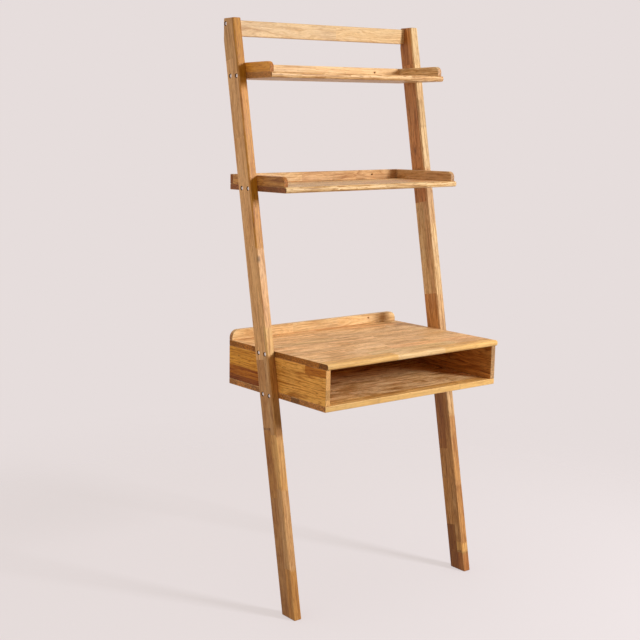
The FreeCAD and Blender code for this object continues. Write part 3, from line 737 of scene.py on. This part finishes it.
def plated_steel(name, tone, gloss):
    """Zinc-plated steel: faint turning marks and a patchy shine."""
    material = bpy.data.materials.new(name)
    material.use_nodes = True
    g = Graph(material.node_tree)
    place = g.node("TexCoord").outputs["Object"]
    clouds = g.noise(place, scale=260.0, detail=4.0, roughness=0.6)
    marks = g.noise(place, scale=2600.0, detail=2.0)
    dark = tuple(part * 0.72 for part in linear(tone)[:3]) + (1.0,)
    colour = g.ramp(clouds, [(0.3, dark), (0.65, linear(tone))])
    roughness = g.math("MULTIPLY_ADD", clouds, 0.22, gloss)
    roughness = g.math("MULTIPLY_ADD", marks, 0.08, roughness)
    relief = g.node("Bump", {"Strength": 0.15, "Distance": 0.05 * MM, "Height": marks})
    shader = g.node(
        "BsdfPrincipled",
        {"Base Color": colour, "Roughness": roughness, "Normal": relief.outputs[0]},
    )
    shader.inputs["Metallic"].default_value = 1.0
    g.finish(shader.outputs[0])
    return material


def coat(node, material):
    """Puts a material in every slot of a piece."""
    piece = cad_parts[node]
    if not piece.data.materials:
        piece.data.materials.append(material)
    for slot in piece.material_slots:
        slot.material = material


def finish_pieces():
    """Gives each board an oak of its own, and each kind of joiner one material."""
    for node, board in boards().items():
        coat(node, oak(node, board))
    bolt = plated_steel("bright_bolt_steel", (255, 246, 240), 0.16)
    insert = plated_steel("insert_steel", (190, 188, 180), 0.3)
    beech = dowel_beech()
    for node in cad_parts:
        if node.endswith("_bolts"):
            coat(node, bolt)
        elif node.endswith("_inserts"):
            coat(node, insert)
        elif node.endswith("_dowels"):
            coat(node, beech)


# ---------------------------------------------------------------- studio


def seen_directly(g):
    """1 for rays from the camera, from gloss and through glass, and 0 for all others."""
    path = g.node("LightPath")
    kinds = [path.outputs[f"Is {kind} Ray"] for kind in ("Camera", "Glossy", "Transmission")]
    return g.math("MAXIMUM", g.math("MAXIMUM", kinds[0], kinds[1]), kinds[2])


# How bright the studio is in each direction: right, left, behind, in front, above and below.
AIR_LEVELS = {"+X": 0.25, "-X": 0.67, "+Y": 0.9, "-Y": 0.0, "+Z": 0.85, "-Z": 0.2}
AIR_COLOUR = (1.0, 0.91, 0.78, 1.0)


def studio_air():
    """Light from all round, behind a plain pale backdrop.

    A direction's brightness is the sum of the six levels, each times the square of how far the
    direction points that way.
    """
    world = bpy.data.worlds.new("studio_air")
    bpy.context.scene.world = world
    world.use_nodes = True
    g = Graph(world.node_tree)
    direction = g.node("TexCoord").outputs["Generated"]
    strength = 0.0
    for (sign, letter), level in AIR_LEVELS.items():
        way = AXES[letter] * (1 if sign == "+" else -1)
        share = g.math("POWER", g.math("MAXIMUM", g.dot(direction, way), 0.0), 2.0)
        strength = g.math("MULTIPLY_ADD", share, level, strength)
    light = g.node("Background", {"Color": AIR_COLOUR, "Strength": strength})
    backdrop = g.node("Background", {"Color": linear(BACKDROP), "Strength": 1.0})
    shown = g.node(
        "MixShader", {0: seen_directly(g), 1: light.outputs[0], 2: backdrop.outputs[0]}
    )
    g.node("OutputWorld", {"Surface": shown.outputs[0]})


# The floor's colour as it is seen, and as it throws light back on the object.
FLOOR_PAINT = (0.90, 0.87, 0.95, 1.0)
FLOOR_BOUNCE = (0.32, 0.30, 0.29, 1.0)

# Half the floor's width, the distances between which it fades out, and how much of it, as it is
# seen, has the backdrop's own brightness. The rest shows light and shadow.
FLOOR_HALF = 4.0
FLOOR_FADE = (1.0, 2.4)
FLOOR_GLOW = 0.7


def studio_floor():
    """A pale floor whose far parts fade into the backdrop."""
    mesh = bpy.data.meshes.new("studio_floor")
    signs = ((-1, -1), (1, -1), (1, 1), (-1, 1))
    corners = [(x * FLOOR_HALF, y * FLOOR_HALF, 0.0) for x, y in signs]
    mesh.from_pydata(corners, [], [(0, 1, 2, 3)])
    floor = bpy.data.objects.new("studio_floor", mesh)
    bpy.context.scene.collection.objects.link(floor)
    material = bpy.data.materials.new("studio_floor")
    material.use_nodes = True
    g = Graph(material.node_tree)
    place = g.node("TexCoord").outputs["Object"]
    distance = g.node("VectorMath", {0: place}, operation="LENGTH").outputs["Value"]
    seen = seen_directly(g)
    paint = g.mix(seen, FLOOR_BOUNCE, FLOOR_PAINT)
    painted = g.node("BsdfDiffuse", {"Color": paint})
    glow = g.node("Emission", {"Color": linear(BACKDROP), "Strength": 1.0})
    share = g.math("MULTIPLY", seen, FLOOR_GLOW)
    lit = g.node("MixShader", {0: share, 1: painted.outputs[0], 2: glow.outputs[0]})
    clear = g.node("BsdfTransparent")
    fade = g.span(distance, *FLOOR_FADE)
    shader = g.node("MixShader", {0: fade, 1: lit.outputs[0], 2: clear.outputs[0]})
    g.finish(shader.outputs[0])
    mesh.materials.append(material)


# The key lamp: its place, what it points at, its width, and its level. At level 1 it alone lights
# a white card at its aim to white.
KEY_PLACE = Vector((1.85, -3.44, 2.23))
KEY_AIM = Vector((0.0, 0.0, 0.95))
KEY_WIDTH = 0.8
KEY_LEVEL = 0.84


def key_lamp():
    """A square soft box in front of the object, to its right and above it."""
    light = bpy.data.lights.new("key_light", "AREA")
    light.size = KEY_WIDTH
    direction = KEY_AIM - KEY_PLACE
    light.energy = KEY_LEVEL * math.pi**2 * direction.length_squared
    lamp = bpy.data.objects.new("key_light", light)
    lamp.location = KEY_PLACE
    lamp.rotation_euler = direction.to_track_quat("-Z", "Y").to_euler()
    bpy.context.scene.collection.objects.link(lamp)


def camera():
    """A camera that looks a little down, whose picture is the right-hand part of a wider one."""
    lens = bpy.data.cameras.new("camera")
    lens.sensor_width = SENSOR_WIDTH
    lens.lens = FOCAL_PIXELS / PICTURE_SIZE * SENSOR_WIDTH
    lens.shift_x = (PICTURE_SIZE / 2 - AXIS_PIXEL[0]) / PICTURE_SIZE
    lens.shift_y = (AXIS_PIXEL[1] - PICTURE_SIZE / 2) / PICTURE_SIZE
    eye = bpy.data.objects.new("camera", lens)
    yaw = Matrix.Rotation(-CAMERA_YAW, 4, "Z")
    pitch = Matrix.Rotation(math.pi / 2 + CAMERA_PITCH, 4, "X")
    roll = Matrix.Rotation(-CAMERA_ROLL, 4, "Z")
    eye.matrix_world = Matrix.Translation(CAMERA_PLACE) @ yaw @ pitch @ roll
    bpy.context.scene.collection.objects.link(eye)
    bpy.context.scene.camera = eye


def studio():
    """Backdrop, floor, lamp and camera."""
    bpy.context.scene.view_settings.view_transform = "Standard"
    studio_air()
    studio_floor()
    key_lamp()
    camera()


finish_pieces()
studio()
